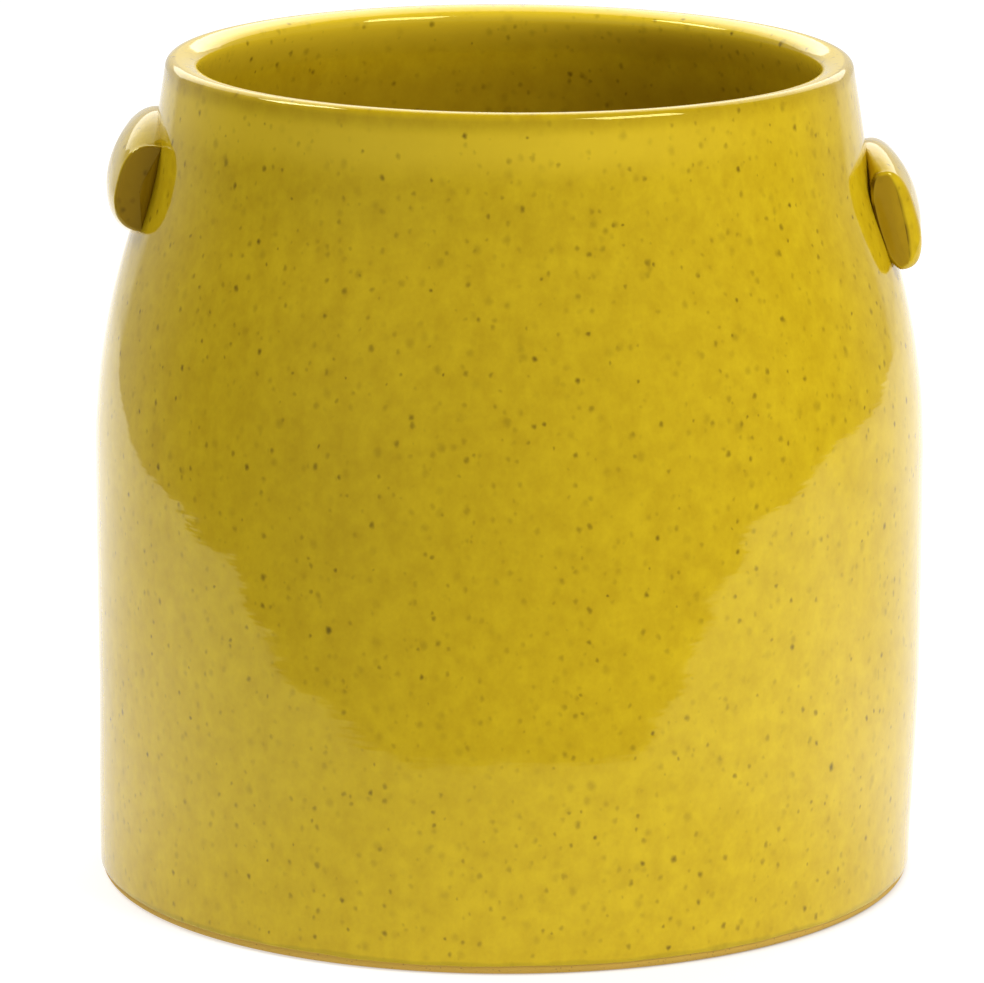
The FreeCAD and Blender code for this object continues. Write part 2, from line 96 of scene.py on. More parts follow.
class PotSizes(bpy.types.PropertyGroup):
    """Sizes of the thrown pot, read from the frame or restated from the same driving dimensions."""

    height: metres("Height", "From the floor to the crest of the lip", GLAZE_HIGH.z)
    belly_radius: metres("Belly Radius", "Outer radius where the pot is widest", GLAZE_HIGH.x)
    lower_round: metres("Lower Wall Round", "Radius of the almost straight lower wall", 5200 * MM)
    shoulder_height: metres(
        "Shoulder Height", "From the widest place up to the foot of the collar", 97.9 * MM)
    neck_draw_in: metres("Neck Draw In", "How far the collar's foot stands inside the belly", 19.3 * MM)
    neck_round: metres("Neck Round", "Radius of the hollow between shoulder and collar", 103 * MM)
    collar_height: metres("Collar Height", "From the collar's foot to the crest of the lip", 30.4 * MM)
    collar_lean: degrees("Collar Lean", "How far the collar leans inwards", 9.3)
    wall: metres("Wall", "Thickness of the wall with both glaze coats", 10 * MM)
    lip_outer: metres("Lip Outer Round", "Radius of the lip's outer half", 3 * MM)
    lip_top: metres("Lip Top", "Width of the lip's top, from the collar's outer face inwards", 8 * MM)
    lip_fall: metres("Lip Fall", "How far the lip's top falls towards the mouth", 0.9 * MM)
    lip_slope: degrees("Lip Slope", "Slope of the lip's top where it rolls over into the mouth", 18)
    lip_inner: metres("Lip Inner Drop", "How far the lip's inner half rolls down into the mouth", 16 * MM)
    glaze: metres("Glaze", "Thickness of one glaze coat", 0.5 * MM)
    glaze_edge: metres("Glaze Edge", "Height of the glaze's lower edge above the floor", GLAZE_LOW.z)
    floor_top: metres("Inside Floor", "Height of the glazed floor inside the pot", INNER_LOW.z + 0.5 * MM)
    corner: metres("Inside Corner", "Leg of the coil in the corner between floor and wall", 12 * MM)
    foot_round: metres("Foot Round", "Rounding of the foot's outer edge", 2.6 * MM)
    foot_ring: metres("Foot Ring", "Width of the flat ring that the pot stands on", 14 * MM)
    foot_hollow: metres("Foot Hollow", "Depth of the turned hollow inside the foot ring", 2.5 * MM)
    steps_around: IntProperty(
        name="Steps Around", description="Faces around the pot", default=256, min=24)


class ThrowingMarks(bpy.types.PropertyGroup):
    """How far the hand-thrown pot departs from a true lathe form."""

    wobble: metres("Wobble", "Greatest swing of the wall in or out", 0.2 * MM)
    wobble_size: metres("Wobble Size", "Length of one swing of the wall", 90 * MM)
    ring_depth: metres("Ring Depth", "Depth of the spiral finger rings", 0.02 * MM)
    ring_pitch: metres("Ring Pitch", "Rise of the spiral in one turn", 19 * MM)
    foot_shift: metres("Foot Shift", "Sideways lean of the foot under the belly", -1.5 * MM)
    foot_fade: metres("Foot Fade", "Height over which the foot's shift fades out", 70 * MM)
    rim_slope: number("Rim Slope", "Fall of the rim towards the right, as a slope", 0.005)
    rim_fade: metres("Rim Fade", "Height at which the rim's slope begins", 150 * MM)
    edge_wave: metres("Edge Wave", "Rise and fall of the glaze's lower edge", 2.6 * MM)
    edge_size: metres("Edge Wave Size", "Length of one wave of the glaze's edge", 34 * MM)
    edge_fade: metres("Edge Fade", "Height at which the edge's wave has died out", 12 * MM)


class LugSizes(bpy.types.PropertyGroup):
    """Sizes of one lug handle. Its section changes from the cut ends to the middle."""

    drop: metres("Drop", "From the crest of the lip down to the middle of the lug", 37.5 * MM)
    length: metres("Length", "Length along the wall", 58 * MM)
    bend: metres("Bend", "Radius that the lug's back is bent to", 160 * MM)
    end_half: metres("End Half Height", "Half the height of the cut ends", 14.2 * MM)
    end_out: metres(
        "End Reach", "How far the cut ends reach out from the widest line of their section", 11.0 * MM)
    end_seat: metres("End Seat", "Widest line of the end section, out from the lug's back", 0.0)
    end_back: metres(
        "End Back", "How far the end section's back lies inside the line of the lug's back", 1.1 * MM)
    middle_up: metres(
        "Middle Upper Half", "Height of the middle section above the lug's centre line", 21 * MM)
    middle_down: metres(
        "Middle Lower Half", "Height of the middle section below the lug's centre line", 18.5 * MM)
    middle_out: metres("Middle Reach", "How far the middle reaches out from the lug's back", 12.8 * MM)
    bite: metres("Bite", "How deep the lug's back sits in the wall", 3 * MM)
    squareness: number("Squareness", "Two for an oval end section, more for a squarer one", 2.7)
    edge_round: metres("Edge Round", "Rounding along the edge of the cut ends", 1.3 * MM)
    outer_round: metres("Outer Edge Round", "Rounding of the cut ends on their outer side", 1.6 * MM)
    outer_skew: degrees("Outer Edge Skew", "How far below the middle the outer rounding is widest", 0.0)
    inner_round: metres("Inner Edge Round", "Rounding of the cut ends on the side of the wall", 2.9 * MM)
    tilt: degrees("Tilt", "How much steeper the lug stands than the wall behind it", 0.0)
    crease: degrees("Crease", "Angle left as a crease where the rounding meets the cut end", 12)
    # Brown break of the glaze along the outer crease, and painted shade in the crevice beside the wall
    glaze_break_and_crevice_shade: number("Thin Edge", "How brown the glaze breaks along the crease of the cut ends", 0.0)
    # Painted shade on the cut ends: how dark, and over how many steps of their rounding
    cut_painted_shade: number("Cut Shade", "How dark the glaze lies on the cut ends", 1.0)
    cut_shade_reach: IntProperty(
        name="Cut Reach", description="Steps of the rounding that the dark glaze also covers", default=4)
    unevenness: metres("Unevenness", "Hand-pressed lumps in the lug", 0.35 * MM)


class GlazeLook(bpy.types.PropertyGroup):
    """Colours and speck sizes of the mustard glaze."""

    mustard: swatch("Mustard", "Main colour of the glaze", "#CFB016")
    deep: swatch("Deep Mustard", "Colour where the glaze lies thicker", "#BF9E10")
    speck: swatch("Speck", "Colour of the small iron specks", "#5E4206")
    iron: swatch("Iron Spot", "Colour of the few large iron spots", "#3C2A0C")
    # Painted shade: darkens the cut ends, which the pot's wall shades from the light
    cut: swatch("Cut End", "Colour of the glaze on the raw cut ends of the lugs", "#9C7A10")
    # Painted light: this lighter colour stands in for light and a soft reflection on the collar and at the
    # top of the inside
    painted_light_tint: swatch("Thin Glaze", "Paler colour of the thin coat on the collar", "#DEBE28")
    # Along the lip's outer edge this brown is a painted dark reflection; deeper inside it is browner glaze
    # together with painted shade
    brown: swatch("Brown Glaze", "Colour inside the pot and along the edge of the lip", "#7E5E12")
    pooled: swatch("Pooled Glaze", "Olive colour of the thick lower edge", "#8A7A14")
    speck_spacing: metres("Speck Spacing", "Mean distance of the small specks", 4.2 * MM)
    speck_radius: metres("Speck Radius", "Radius of a small speck", 1.5 * MM)
    spot_spacing: metres("Spot Spacing", "Mean distance of the large spots", 17 * MM)
    spot_radius: metres("Spot Radius", "Radius of a large spot", 1.8 * MM)
    cloud_spacing: metres("Cloud Spacing", "Mean distance of the faint brown clouds", 5 * MM)
    cloud_radius: metres("Cloud Radius", "Radius of a faint cloud", 2.3 * MM)


class ClayLook(bpy.types.PropertyGroup):
    """Colours of the bare stoneware."""

    body: swatch("Clay", "Main colour of the fired clay", "#BE9A36")
    flash: swatch("Flashing", "Warmer colour where the flame touched the clay", "#C29C3A")
    grog: swatch("Grog", "Dark grains in the clay", "#7E5E20")
    grog_spacing: metres("Grog Spacing", "Mean distance of the grains", 1.6 * MM)
    grog_radius: metres("Grog Radius", "Radius of a grain", 0.3 * MM)


class StudioSettings(bpy.types.PropertyGroup):
    """Camera and light of the studio."""

    camera_place: FloatVectorProperty(
        name="Camera Place", description="Where the camera stands", subtype="XYZ", unit="LENGTH",
        default=(-5.6 * MM, -2106 * MM, 609.7 * MM))
    camera_pitch: degrees("Camera Pitch", "How far the camera looks down", 13.018)
    focal_length: number("Focal Length", "Lens in millimetres", 244.8)
    paper: swatch("Paper", "Colour of the floor paper", "#BDBCBA")
    # Painted light: the floor glows by itself, with no lamp under it
    paper_glow: number("Paper Glow", "Extra light of the floor, as from a lit table", 0.65)
    left_glow: number("Left Glow", "More light of the floor at the left", 0.28)
    right_glow: number("Right Glow", "More light of the floor at the right", 0.5)
    key_light: number("Key Light", "Brightness of the soft box in front at the right", 9.9)
    fill_light: number("Fill Light", "Brightness of the soft box above at the left", 12.0)
    panel_light: number("Panel Light", "Brightness of the white panel behind the pot", 1.3)
    front_light: number("Front Light", "Brightness of the room in front of the pot", 0.40)
    back_light: number("Back Light", "Brightness of the room behind the pot", 0.38)
    backdrop_light: number("Backdrop Light", "Brightness of the white backdrop behind the pot", 0.45)
    left_light: number("Left Light", "Brightness of the room at the left", 0.2)


class PotSettings(bpy.types.PropertyGroup):
    """All settings of the flower pot."""

    pot: PointerProperty(name="Pot", description="Sizes of the thrown pot", type=PotSizes)
    marks: PointerProperty(name="Throwing Marks", description="Hand-made departures", type=ThrowingMarks)
    left_lug: PointerProperty(name="Left Lug", description="Sizes of the left lug", type=LugSizes)
    right_lug: PointerProperty(name="Right Lug", description="Sizes of the right lug", type=LugSizes)
    glaze: PointerProperty(name="Glaze", description="Look of the glaze", type=GlazeLook)
    clay: PointerProperty(name="Clay", description="Look of the bare clay", type=ClayLook)
    studio: PointerProperty(name="Studio", description="Camera and light", type=StudioSettings)


# The right lug is lower, straighter and squarer than the left one, whose sizes are the defaults
RIGHT_LUG = {
    "drop": 49 * MM,
    "length": 54 * MM,
    "bend": 190 * MM,
    "end_half": 16.4 * MM,
    "end_out": 6.9 * MM,
    "end_seat": 4.5 * MM,
    "end_back": 1.4 * MM,
    "middle_up": 22.3 * MM,
    "middle_down": 15.8 * MM,
    "middle_out": 12 * MM,
    "bite": 2.5 * MM,
    "squareness": 2.5,
    "outer_round": 6.2 * MM,
    "outer_skew": math.radians(15),
    "inner_round": 1.6 * MM,
    "tilt": math.radians(4.5),
    "crease": math.radians(20),
    "glaze_break_and_crevice_shade": 1.0,
    "cut_painted_shade": 0.8,
    "cut_shade_reach": 0,
}


# Node and mesh helpers


def add_node(tree, kind, inputs=None, **settings):
    """Add a node with its settings, give each listed input its value or link, and return its outputs."""
    node = tree.nodes.new(kind)
    for option, value in settings.items():
        setattr(node, option, value)
    for key, value in (inputs or {}).items():
        if isinstance(value, bpy.types.NodeSocket):
            tree.links.new(value, node.inputs[key])
        else:
            node.inputs[key].default_value = value
    return node.outputs


def new_piece(name, mesh):
    """Link a mesh to the scene as an object at the origin."""
    piece = bpy.data.objects.new(name, mesh)
    bpy.context.scene.collection.objects.link(piece)
    return piece


def attach(piece, slot, *nodes):
    """Let a finished piece ride on the pot's one body in place of its CAD nodes."""
    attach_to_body(piece, "root")
    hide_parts(*nodes)


# Outlines, as points of radius and height


CLOSE = 0.01 * MM
WALL_STEP = 2 * MM
INNER_STEP = 2.6 * MM
FINE_STEP = 0.6 * MM
FLOOR_STEP = 8 * MM
FOOT_GAP = 0.1 * MM
ROLL_SHARE = 0.40
BEAD_SHARE = 0.8
HOLLOW_EDGE_WAY = (0.8, -0.6)


def line(start, end, spacing):
    """Points of a straight stretch, both ends included."""
    start, end = np.array(start), np.array(end)
    steps = max(2, math.ceil(np.linalg.norm(end - start) / spacing) + 1)
    return start + np.linspace(0, 1, steps)[:, None] * (end - start)


def arc(centre, radius, first, last, spacing):
    """Points of an arc about a centre, from the first angle to the last."""
    steps = max(2, math.ceil(abs(last - first) * radius / spacing) + 1)
    turn = np.linspace(first, last, steps)
    return np.column_stack((centre[0] + radius * np.cos(turn), centre[1] + radius * np.sin(turn)))


def roll(start, start_way, end, end_way, spacing):
    """Points of a smooth roll that leaves the start one way and reaches the end another way."""
    start, end = np.array(start), np.array(end)
    reach = np.linalg.norm(end - start)
    first = start + np.array(start_way) * reach * ROLL_SHARE
    second = end - np.array(end_way) * reach * ROLL_SHARE
    share = np.linspace(0, 1, max(3, math.ceil(reach / spacing) + 1))[:, None]
    rest = 1 - share
    return (
        rest ** 3 * start + 3 * rest ** 2 * share * first
        + 3 * rest * share ** 2 * second + share ** 3 * end)


def joined(*stretches):
    """One outline from stretches that follow each other, with shared points kept once."""
    points = np.vstack(stretches)
    apart = np.linalg.norm(np.diff(points, axis=0), axis=1) > CLOSE
    return points[np.concatenate(([True], apart))]


def pot_curves(pot):
    """Centres, radii and joint angle of the curves that the outside is thrown to."""
    belly_height = pot.height - pot.collar_height - pot.shoulder_height
    lean = pot.collar_lean
    collar = np.array((pot.belly_radius - pot.neck_draw_in, pot.height - pot.collar_height))
    neck = collar + pot.neck_round * np.array((math.cos(lean), math.sin(lean)))
    out = neck[0] - pot.belly_radius
    up = neck[1] - belly_height
    shoulder_round = (out ** 2 + up ** 2 - pot.neck_round ** 2) / (2 * (pot.neck_round - out))
    return {
        "belly_height": belly_height,
        "collar": collar,
        "neck": neck,
        "shoulder": np.array((pot.belly_radius - shoulder_round, belly_height)),
        "shoulder_round": shoulder_round,
        "lower": np.array((pot.belly_radius - pot.lower_round, belly_height)),
        "joint": math.atan2(up, out + shoulder_round),
    }


def lower_angle(curves, height, radius):
    """Angle about the lower wall's centre at which its curve is at a height."""
    return math.asin((height - curves["belly_height"]) / radius)


def body_outline(pot):
    """The glazed body: hidden underside, glaze bead, outer face, lip, inner face and inside floor."""
    curves = pot_curves(pot)
    lean, joint = pot.collar_lean, curves["joint"]
    across = np.array((math.cos(lean), math.sin(lean)))
    along = np.array((-math.sin(lean), math.cos(lean)))

    bead = pot.glaze * BEAD_SHARE
    low = pot.glaze_edge + bead
    first = lower_angle(curves, low, pot.lower_round)
    face = curves["lower"][0] + pot.lower_round * math.cos(first)
    hidden = 2 * pot.glaze_edge
    skirt = face - 2 * bead
    underside = line((0, hidden), (skirt, hidden), FLOOR_STEP)
    inside_skirt = line((skirt, hidden), (skirt, low), FINE_STEP)
    glaze_bead = arc((face - bead, low), bead, -math.pi, 0, FINE_STEP / 3)

    lower = arc(curves["lower"], pot.lower_round, first, 0, WALL_STEP)
    shoulder = arc(curves["shoulder"], curves["shoulder_round"], 0, joint, WALL_STEP)
    neck = arc(curves["neck"], pot.neck_round, math.pi + joint, math.pi + lean, WALL_STEP)

    crest_height = pot.height - pot.lip_outer
    rise = (crest_height + pot.lip_outer * across[1] - curves["collar"][1]) / along[1]
    lip_start = curves["collar"] + rise * along
    lip_centre = lip_start - pot.lip_outer * across
    collar = line(curves["collar"], lip_start, WALL_STEP)
    lip = arc(lip_centre, pot.lip_outer, lean, QUARTER, FINE_STEP)

    inner_collar = curves["collar"] - pot.wall * across
    mouth_rise = (pot.height - pot.lip_inner - inner_collar[1]) / along[1]
    mouth = inner_collar + mouth_rise * along
    brow = (lip_start[0] - pot.lip_top, pot.height - pot.lip_fall)
    over = (-math.cos(pot.lip_slope), -math.sin(pot.lip_slope))
    lip_top = roll(lip[-1], (-1, 0), brow, over, FINE_STEP)
    inner_lip = roll(brow, over, mouth, -along, FINE_STEP)
    inner_line = line(mouth, inner_collar, WALL_STEP)
    inner_neck = arc(curves["neck"], pot.neck_round + pot.wall, math.pi + lean, math.pi + joint, INNER_STEP)
    inner_shoulder = arc(curves["shoulder"], curves["shoulder_round"] - pot.wall, joint, 0, INNER_STEP)

    inner_round = pot.lower_round - pot.wall
    coil_top = pot.floor_top + pot.corner
    last = lower_angle(curves, coil_top, inner_round)
    inner_lower = arc(curves["lower"], inner_round, 0, last, INNER_STEP)
    coil_end = (inner_lower[-1][0] - pot.corner, pot.floor_top)
    corner = roll(inner_lower[-1], (0, -1), coil_end, (-1, 0), FINE_STEP * 2)
    floor = line(coil_end, (0, pot.floor_top), FLOOR_STEP)
    return joined(
        underside, inside_skirt, glaze_bead, lower, shoulder, neck, collar, lip,
        lip_top, inner_lip, inner_line, inner_neck, inner_shoulder, inner_lower, corner, floor)


def foot_outline(pot):
    """The bare foot: turned hollow, flat ring, rounded edge, clay face and hidden top."""
    curves = pot_curves(pot)
    clay_round = pot.lower_round - pot.glaze
    top = 2 * pot.glaze_edge - FOOT_GAP
    angle = lower_angle(curves, pot.foot_round, clay_round)
    face = curves["lower"][0] + clay_round * math.cos(angle)
    ring_out = face - pot.foot_round
    ring_in = ring_out - pot.foot_ring
    bevel = pot.foot_hollow / 2
    hollow = line((0, pot.foot_hollow), (ring_in - bevel, pot.foot_hollow), FLOOR_STEP)
    step = roll(hollow[-1], (1, 0), (ring_in, 0), HOLLOW_EDGE_WAY, FINE_STEP)
    ring = line((ring_in, 0), (ring_out, 0), WALL_STEP)
    edge = arc((ring_out, pot.foot_round), pot.foot_round, -QUARTER, 0, FINE_STEP / 2)
    clay = arc(curves["lower"], clay_round, angle, lower_angle(curves, top, clay_round), FINE_STEP)
    cover = line(clay[-1], (0, top), FLOOR_STEP)
    return joined(hollow, step, ring, edge, clay, cover)


# Thrown lathe in Geometry Nodes


LATHE_SOCKETS = {
    "NodeSocketGeometry": ("Outline",),
    "NodeSocketInt": ("Steps Around", "Crest Row"),
    "NodeSocketFloat": (
        "Wobble", "Wobble Size", "Ring Depth", "Ring Pitch", "Foot Shift", "Foot Fade", "Rim Slope",
        "Rim Fade", "Rim Height", "Edge Wave", "Edge Wave Size", "Edge Height", "Edge Fade", "Seed"),
    "NodeSocketMaterial": ("Finish",),
}


def lathe_tree():
    """Build the tree that spins an outline and gives it the marks of a hand-thrown pot."""
    tree = bpy.data.node_groups.new("Thrown Lathe", "GeometryNodeTree")
    for kind, names in LATHE_SOCKETS.items():
        for name in names:
            tree.interface.new_socket(name=name, in_out="INPUT", socket_type=kind)
    tree.interface.new_socket(name="Pot", in_out="OUTPUT", socket_type="NodeSocketGeometry")
    given = add_node(tree, "NodeGroupInput")

    # A grid of steps around by outline points, spun about the axis
    rows = add_node(tree, "GeometryNodeAttributeDomainSize", {0: given["Outline"]}, component="MESH")[0]
    columns = add_node(tree, "ShaderNodeMath", {0: given["Steps Around"], 1: 1.0}, operation="ADD")[0]
    grid = add_node(tree, "GeometryNodeMeshGrid", {
        "Size X": 1.0, "Size Y": 1.0, "Vertices X": columns, "Vertices Y": rows})[0]
    place = add_node(tree, "GeometryNodeInputPosition")[0]
    spot = add_node(tree, "ShaderNodeSeparateXYZ", {0: place})
    gaps = add_node(tree, "ShaderNodeMath", {0: rows, 1: 1.0}, operation="SUBTRACT")[0]
    row_share = add_node(tree, "ShaderNodeMath", {0: spot["Y"], 1: 0.5}, operation="ADD")[0]
    row_place = add_node(tree, "ShaderNodeMath", {0: row_share, 1: gaps}, operation="MULTIPLY")[0]
    row = add_node(tree, "ShaderNodeMath", {0: row_place}, operation="ROUND")[0]
    point = add_node(tree, "GeometryNodeSampleIndex", {
        "Geometry": given["Outline"], "Value": place, "Index": row},
        data_type="FLOAT_VECTOR", domain="POINT")[0]
    angle = add_node(tree, "ShaderNodeMath", {0: spot["X"], 1: 2 * math.pi}, operation="MULTIPLY")[0]
    spun = add_node(tree, "ShaderNodeVectorRotate", {
        "Vector": point, "Angle": angle}, rotation_type="Z_AXIS")[0]
    at = add_node(tree, "ShaderNodeSeparateXYZ", {0: spun})

    # Slow wobble of the wall and the fine spiral that the fingers leave
    flat = add_node(tree, "ShaderNodeVectorMath", {0: spun, 1: (1, 1, 0)}, operation="MULTIPLY")[0]
    outward = add_node(tree, "ShaderNodeVectorMath", {0: flat}, operation="NORMALIZE")[0]
    wobble_scale = add_node(tree, "ShaderNodeMath", {
        0: 1.0, 1: given["Wobble Size"]}, operation="DIVIDE")[0]
    swing = add_node(tree, "ShaderNodeTexNoise", {
        "Vector": spun, "W": given["Seed"], "Scale": wobble_scale, "Detail": 1.0},
        noise_dimensions="4D")[0]
    swing = add_node(tree, "ShaderNodeMath", {0: swing, 1: 0.5}, operation="SUBTRACT")[0]
    swing = add_node(tree, "ShaderNodeMath", {0: swing, 1: given["Wobble"]}, operation="MULTIPLY")[0]
    turns = add_node(tree, "ShaderNodeMath", {0: at["Z"], 1: given["Ring Pitch"]}, operation="DIVIDE")[0]
    phase = add_node(tree, "ShaderNodeMath", {
        0: turns, 1: 2 * math.pi, 2: angle}, operation="MULTIPLY_ADD")[0]
    ring = add_node(tree, "ShaderNodeMath", {0: phase}, operation="SINE")[0]
    bulge = add_node(tree, "ShaderNodeMath", {
        0: ring, 1: given["Ring Depth"], 2: swing}, operation="MULTIPLY_ADD")[0]
    swell = add_node(tree, "ShaderNodeVectorMath", {0: outward, "Scale": bulge}, operation="SCALE")[0]

    # Foot a little off the axis, rim a little out of level, glaze edge that rises and falls
    shift = add_node(tree, "ShaderNodeMapRange", {
        "Value": at["Z"], "From Min": 0.0, "From Max": given["Foot Fade"],
        "To Min": given["Foot Shift"], "To Max": 0.0}, interpolation_type="SMOOTHSTEP")[0]
    slope = add_node(tree, "ShaderNodeMapRange", {
        "Value": at["Z"], "From Min": given["Rim Fade"], "From Max": given["Rim Height"],
        "To Min": 0.0, "To Max": given["Rim Slope"]}, interpolation_type="SMOOTHSTEP")[0]
    fall = add_node(tree, "ShaderNodeMath", {0: slope, 1: at["X"]}, operation="MULTIPLY")[0]
    wave_scale = add_node(tree, "ShaderNodeMath", {
        0: 1.0, 1: given["Edge Wave Size"]}, operation="DIVIDE")[0]
    wave = add_node(tree, "ShaderNodeTexNoise", {
        "Vector": flat, "W": given["Seed"], "Scale": wave_scale, "Detail": 2.0},
        noise_dimensions="4D")[0]
    wave = add_node(tree, "ShaderNodeMath", {0: wave, 1: 0.5}, operation="SUBTRACT")[0]
    near_edge = add_node(tree, "ShaderNodeMapRange", {
        "Value": at["Z"], "From Min": given["Edge Height"], "From Max": given["Edge Fade"],
        "To Min": given["Edge Wave"], "To Max": 0.0}, interpolation_type="SMOOTHSTEP")[0]
    lift = add_node(tree, "ShaderNodeMath", {0: wave, 1: near_edge}, operation="MULTIPLY")[0]
    lift = add_node(tree, "ShaderNodeMath", {0: lift, 1: fall}, operation="SUBTRACT")[0]
    drift = add_node(tree, "ShaderNodeCombineXYZ", {"X": shift, "Z": lift})[0]
    moved = add_node(tree, "ShaderNodeVectorMath", {0: spun, 1: swell}, operation="ADD")[0]
    moved = add_node(tree, "ShaderNodeVectorMath", {0: moved, 1: drift}, operation="ADD")[0]

    # What lies after the crest of the lip is the inside
    after_crest = add_node(tree, "ShaderNodeMath", {
        0: row, 1: given["Crest Row"]}, operation="GREATER_THAN")[0]
    marked = add_node(tree, "GeometryNodeStoreNamedAttribute", {
        "Geometry": grid, "Name": "inside", "Value": after_crest},
        data_type="FLOAT", domain="POINT")[0]
    shaped = add_node(tree, "GeometryNodeSetPosition", {"Geometry": marked, "Position": moved})[0]
    closed = add_node(tree, "GeometryNodeMergeByDistance", {"Geometry": shaped, "Distance": CLOSE})[0]
    smooth = add_node(tree, "GeometryNodeSetShadeSmooth", {"Geometry": closed})[0]
    real = add_node(tree, "GeometryNodeRealizeInstances", {"Geometry": smooth})[0]
    finished = add_node(tree, "GeometryNodeSetMaterial", {"Geometry": real, "Material": given["Finish"]})[0]
    add_node(tree, "NodeGroupOutput", {"Pot": finished})
    return tree


def throw(name, outline, finish, settings, edge_wave=0.0):
    """Spin an outline with the lathe tree and keep the result as a plain mesh piece."""
    pot, marks = settings.pot, settings.marks
    tree = bpy.data.node_groups.get("Thrown Lathe") or lathe_tree()
    drawn = bpy.data.meshes.new(name + "_outline")
    points = [(radius, 0.0, height) for radius, height in outline]
    drawn.from_pydata(points, [(index, index + 1) for index in range(len(points) - 1)], [])
    piece = new_piece(name, drawn)
    spin = piece.modifiers.new("Thrown Lathe", "NODES")
    spin.node_group = tree
    # The sockets of the throwing marks carry the names of their settings
    values = {mark.name: getattr(marks, key) for key, mark in marks.bl_rna.properties.items()}
    values.update({
        "Steps Around": pot.steps_around,
        "Crest Row": int(np.argmax(outline[:, 1])),
        "Rim Height": pot.height,
        "Edge Wave": edge_wave,
        "Edge Height": pot.glaze_edge,
        "Seed": SEED,
        "Finish": finish,
    })
    for socket in tree.interface.items_tree:
        if socket.in_out == "INPUT" and socket.name in values:
            spin[socket.identifier] = values[socket.name]
    graph = bpy.context.evaluated_depsgraph_get()
    mesh = bpy.data.meshes.new_from_object(piece.evaluated_get(graph))
    mesh.name = name
    piece.modifiers.remove(spin)
    piece.data = mesh
    bpy.data.meshes.remove(drawn)
    return piece


# Lug handles


LUG_SIDES = 80
LUG_STATIONS = 45
ROUND_STEPS = 7
CAP_SHARES = (0.96, 0.85, 0.65, 0.45, 0.25, 0.1)
SHARP = math.radians(18)
CAP_DOME = 0.5 * MM
CAP_BLEND = 4
MIDDLE_POWER = 2.2
LUMP_SIZE = 16 * MM
LUMP_PLACE = (7.0, 3.0, 5.0)
CREVICE_SPREAD = 2


def lug_section(lug, middle, turn):
    """One section of the lug, out from its back and up the wall.

    Middle is 0 at a cut end and 1 in the middle.
    """
    cosine, sine = np.cos(turn), np.sin(turn)
    power = 2 / (lug.squareness + (2 - lug.squareness) * middle)
    across = np.sign(cosine) * np.abs(cosine) ** power
    upward = np.sign(sine) * np.abs(sine) ** power
    seat = lug.end_seat * (1 - middle)
    reach = lug.end_out + (lug.middle_out - lug.end_out) * middle
    up = lug.end_half + (lug.middle_up - lug.end_half) * middle
    down = lug.end_half + (lug.middle_down - lug.end_half) * middle
    back = (lug.end_seat + lug.end_back) * (1 - middle) + lug.bite * middle
    outer = seat + np.where(cosine > 0, reach, back) * across
    return outer, np.where(sine > 0, up, down) * upward


def lug_points(lug):
    """Rings of the lug from one cut end to the other, in its own frame: out, along and up."""
    turn = np.linspace(0, 2 * math.pi, LUG_SIDES, endpoint=False)
    outward = np.clip(np.cos(turn + lug.outer_skew), 0, 1)
    inward = np.clip(-np.cos(turn), 0, 1)
    rounding = lug.edge_round + (lug.outer_round - lug.edge_round) * outward
    rounding = rounding + (lug.inner_round - lug.edge_round) * inward
    half = lug.length / 2
    rings = []
    for end in (-1, 1):
        outer, upward = lug_section(lug, 0.0, turn)
        outer_way = np.roll(outer, -1) - np.roll(outer, 1)
        upward_way = np.roll(upward, -1) - np.roll(upward, 1)
        size = np.hypot(outer_way, upward_way)
        edge = []
        for phi in np.linspace(0, QUARTER - lug.crease, ROUND_STEPS):
            inset = rounding * (1 - math.cos(phi)) / size
            along = half - rounding + rounding * math.sin(phi)
            edge.append((outer - upward_way * inset, along, upward + outer_way * inset))
        last_outer, last_along, last_upward = edge[-1]
        centre = (last_outer.mean(), last_upward.mean())
        for share in CAP_SHARES:
            dome = last_along.mean() + CAP_DOME * (1 - share ** 2)
            along = last_along * share ** CAP_BLEND + dome * (1 - share ** CAP_BLEND)
            edge.append((
                centre[0] + (last_outer - centre[0]) * share, along,
                centre[1] + (last_upward - centre[1]) * share))
        rings.append([np.column_stack((out, end * along, up)) for out, along, up in edge])
    between = []
    for share in np.linspace(-1, 1, LUG_STATIONS)[1:-1]:
        outer, upward = lug_section(lug, 1 - abs(share) ** MIDDLE_POWER, turn)
        between.append(np.column_stack((outer, share * (half - rounding), upward)))
    return rings[0][::-1] + between + rings[1]


